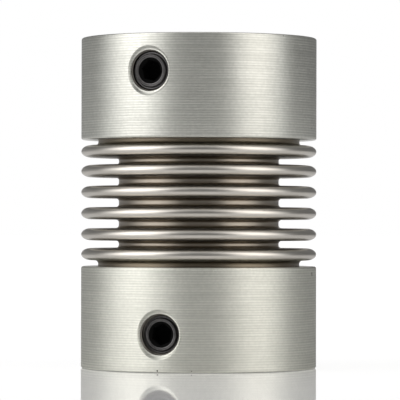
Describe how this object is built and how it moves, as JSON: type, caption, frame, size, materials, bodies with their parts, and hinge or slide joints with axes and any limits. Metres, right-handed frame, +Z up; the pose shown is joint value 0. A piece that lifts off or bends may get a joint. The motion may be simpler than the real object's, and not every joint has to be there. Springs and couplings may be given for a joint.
{
  "type": "bellows coupling",
  "caption": "Bellows coupling that joins shaft ends: bored hubs with set screws, bonded to a thin corrugated metal bellows that flexes.",
  "frame": {"origin": "centre of the lower hub's end face", "axes": "+Z up along the shaft axis, from the lower hub to the upper hub; -Y is the front, near which the first set screw of each hub lies"},
  "size_m": [0.025, 0.025, 0.035],
  "materials": {
    "hub_aluminium": "fine turned, satin",
    "bellows_steel": "bright formed stainless steel",
    "screw_steel": "black oxide alloy steel"
  },
  "bodies": {
    "lower": {"lower_hub": "hub_aluminium", "lower_set_screw_1": "screw_steel", "lower_set_screw_2": "screw_steel"},
    "bellows": {"bellows": "bellows_steel"},
    "upper": {"upper_hub": "hub_aluminium", "upper_set_screw_1": "screw_steel", "upper_set_screw_2": "screw_steel"}
  },
  "joints": [
    {"name": "tilt_x", "type": "hinge", "parent": "lower", "child": "bellows", "pos_m": [0, 0, 0.0175], "axis": [1, 0, 0], "range_deg": [-1.5, 1.5], "stiffness_Nm_per_rad": 2.2, "deforming": ["bellows"]},
    {"name": "tilt_y", "type": "hinge", "parent": "bellows", "child": "upper", "pos_m": [0, 0, 0.0175], "axis": [0, 1, 0], "range_deg": [-1.5, 1.5], "stiffness_Nm_per_rad": 2.2, "deforming": ["bellows"]}
  ]
}
